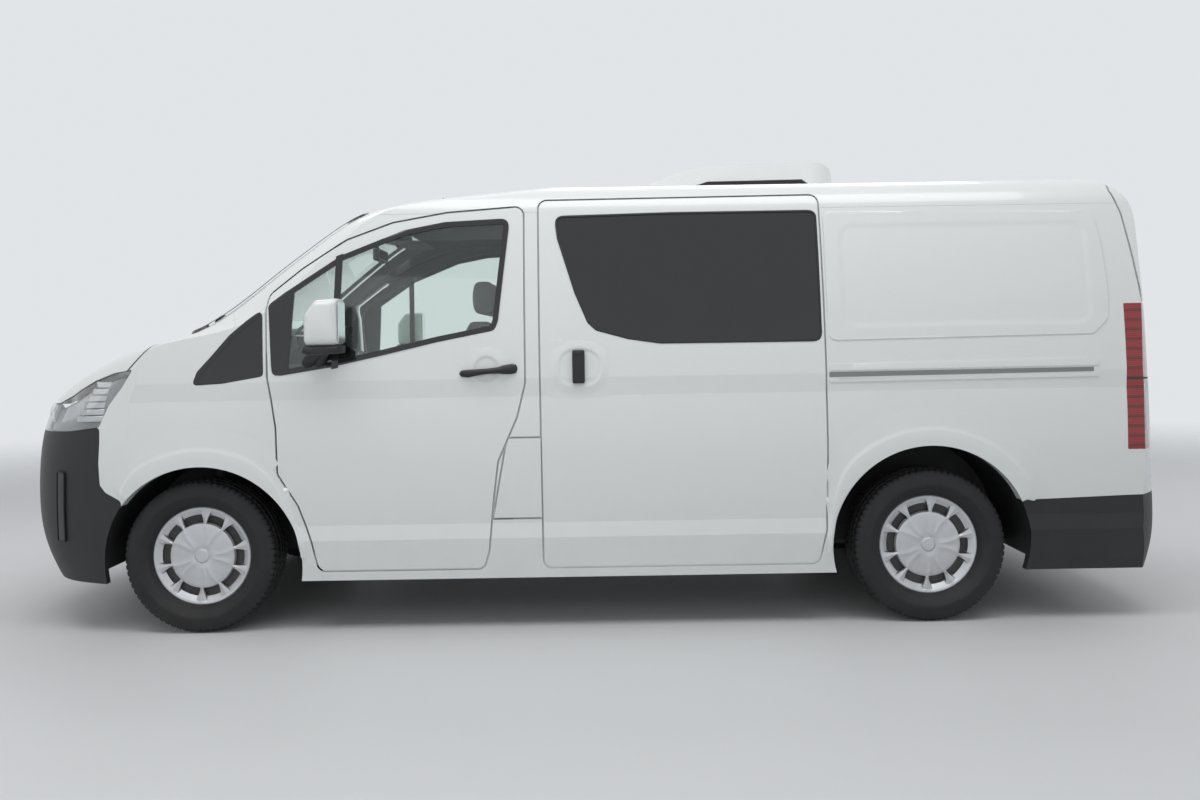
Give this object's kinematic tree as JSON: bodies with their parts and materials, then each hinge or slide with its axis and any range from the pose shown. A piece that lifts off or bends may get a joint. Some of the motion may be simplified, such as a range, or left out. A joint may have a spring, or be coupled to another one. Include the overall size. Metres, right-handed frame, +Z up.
{
  "type": "refrigerated panel van",
  "caption": "Right-hand-drive panel van with insulated load space, roof cooling unit, hinged doors, lift-up tailgate and steered wheels",
  "frame": {"origin": "floor level below the centre of the bounding box", "axes": "+X to the rear of the van, +Y to its right side, +Z up"},
  "size_m": [5.265, 2.28, 2.15],
  "materials": {
    "white_paint": "satin gloss body paint",
    "black_trim": "textured black plastic",
    "clear_glass": "green-tinted clear glass",
    "dark_glass": "near-black opaque glazing",
    "lamp_clear": "clear lamp lens over a grey reflector",
    "lamp_red": "ribbed red lens",
    "tyre_rubber": "black tyre rubber",
    "wheel_silver": "silver lacquer",
    "chassis_black": "black chassis paint",
    "steel": "bare steel",
    "engine_metal": "cast metal",
    "cab_trim": "grained dark grey plastic",
    "seat_cloth": "woven dark cloth",
    "unit_white": "white moulded housing",
    "load_lining": "white wipe-clean lining"
  },
  "bodies": {
    "root": {"body_side_left": "white_paint", "body_side_right": "white_paint", "bulkhead": "load_lining", "cooling_unit": "unit_white", "corner_panes": "dark_glass", "cowl": "black_trim", "dashboard": "cab_trim", "door_hinges": "chassis_black", "engine": "engine_metal", "exhaust": "steel", "fan_guards": "black_trim", "fender_left": "white_paint", "fender_right": "white_paint", "firewall": "chassis_black", "floor_pan": "chassis_black", "front_bumper": "black_trim", "front_suspension": "chassis_black", "fuel_tank": "black_trim", "grille": "black_trim", "headlamps": "lamp_clear", "rear_axle": "chassis_black", "rear_bumper": "black_trim", "roof": "white_paint", "seat_cushions": "seat_cloth", "seat_frames": "cab_trim", "slide_handles": "black_trim", "sliding_doors": "white_paint", "sliding_glass": "dark_glass", "tail_lamps": "lamp_red", "wheelhouses": "black_trim", "windscreen": "clear_glass", "wipers": "black_trim"},
    "bonnet": {"bonnet": "white_paint"},
    "tailgate": {"tailgate": "white_paint", "tailgate_glass": "dark_glass", "tailgate_handle": "black_trim"},
    "front_door_left": {"front_door_left": "white_paint", "door_glass_left": "clear_glass", "door_fittings_left": "black_trim"},
    "front_door_right": {"front_door_right": "white_paint", "door_glass_right": "clear_glass", "door_fittings_right": "black_trim"},
    "steering_wheel": {"steering_wheel": "cab_trim"},
    "knuckle_left": {"knuckle_left": "engine_metal"},
    "knuckle_right": {"knuckle_right": "engine_metal"},
    "wheel_front_left": {"wheel_front_left": "wheel_silver", "tyre_front_left": "tyre_rubber"},
    "wheel_front_right": {"wheel_front_right": "wheel_silver", "tyre_front_right": "tyre_rubber"},
    "wheel_rear_left": {"wheel_rear_left": "wheel_silver", "tyre_rear_left": "tyre_rubber"},
    "wheel_rear_right": {"wheel_rear_right": "wheel_silver", "tyre_rear_right": "tyre_rubber"},
    "fan_front": {"fan_front": "black_trim"},
    "fan_rear": {"fan_rear": "black_trim"},
    "fuel_flap": {"fuel_flap": "white_paint"}
  },
  "joints": [
    {"name": "steer_left", "type": "hinge", "parent": "root", "child": "knuckle_left", "pos_m": [-1.6625, -0.70902, 0.335], "axis": [0, 0.1959, 0.9806], "range_deg": [-32, 32]},
    {"name": "steer_right", "type": "hinge", "parent": "root", "child": "knuckle_right", "pos_m": [-1.6625, 0.70902, 0.335], "axis": [0, -0.1959, 0.9806], "range_deg": [-32, 32]},
    {"name": "steering_turn", "type": "hinge", "parent": "root", "child": "steering_wheel", "pos_m": [-1.15, 0.4, 1.05], "axis": [0.8829, 0, 0.4695], "range_deg": [-540, 540]},
    {"name": "spin_front_left", "type": "hinge", "parent": "knuckle_left", "child": "wheel_front_left", "pos_m": [-1.6625, -0.82, 0.335], "axis": [0, 1, 0], "continuous": true},
    {"name": "spin_front_right", "type": "hinge", "parent": "knuckle_right", "child": "wheel_front_right", "pos_m": [-1.6625, 0.82, 0.335], "axis": [0, 1, 0], "continuous": true},
    {"name": "spin_rear_left", "type": "hinge", "parent": "root", "child": "wheel_rear_left", "pos_m": [1.5475, -0.82, 0.335], "axis": [0, 1, 0], "continuous": true},
    {"name": "spin_rear_right", "type": "hinge", "parent": "root", "child": "wheel_rear_right", "pos_m": [1.5475, 0.82, 0.335], "axis": [0, 1, 0], "continuous": true},
    {"name": "door_left", "type": "hinge", "parent": "root", "child": "front_door_left", "pos_m": [-1.255, -0.96, 0.9], "axis": [0, 0, -1], "range_deg": [0, 70]},
    {"name": "door_right", "type": "hinge", "parent": "root", "child": "front_door_right", "pos_m": [-1.255, 0.96, 0.9], "axis": [0, 0, 1], "range_deg": [0, 70]},
    {"name": "bonnet_lift", "type": "hinge", "parent": "root", "child": "bonnet", "pos_m": [-1.838, 0, 1.288], "axis": [0, 1, 0], "range_deg": [0, 55]},
    {"name": "tailgate_lift", "type": "hinge", "parent": "root", "child": "tailgate", "pos_m": [2.395, 0, 1.99], "axis": [0, -1, 0], "range_deg": [0, 88]},
    {"name": "flap_swing", "type": "hinge", "parent": "root", "child": "fuel_flap", "pos_m": [-0.32956, -0.9755, 0.66595], "axis": [-0.1871, 0, -0.9824], "range_deg": [0, 90]},
    {"name": "fan_front_spin", "type": "hinge", "parent": "root", "child": "fan_front", "pos_m": [0.717, 0, 2.08], "axis": [0, 0, 1], "continuous": true},
    {"name": "fan_rear_spin", "type": "hinge", "parent": "root", "child": "fan_rear", "pos_m": [1.04, 0, 2.08], "axis": [0, 0, 1], "continuous": true}
  ],
  "couplings": [
    {"joint": "steer_right", "follows": "steer_left", "ratio": 1},
    {"joint": "steering_turn", "follows": "steer_left", "ratio": 16}
  ]
}
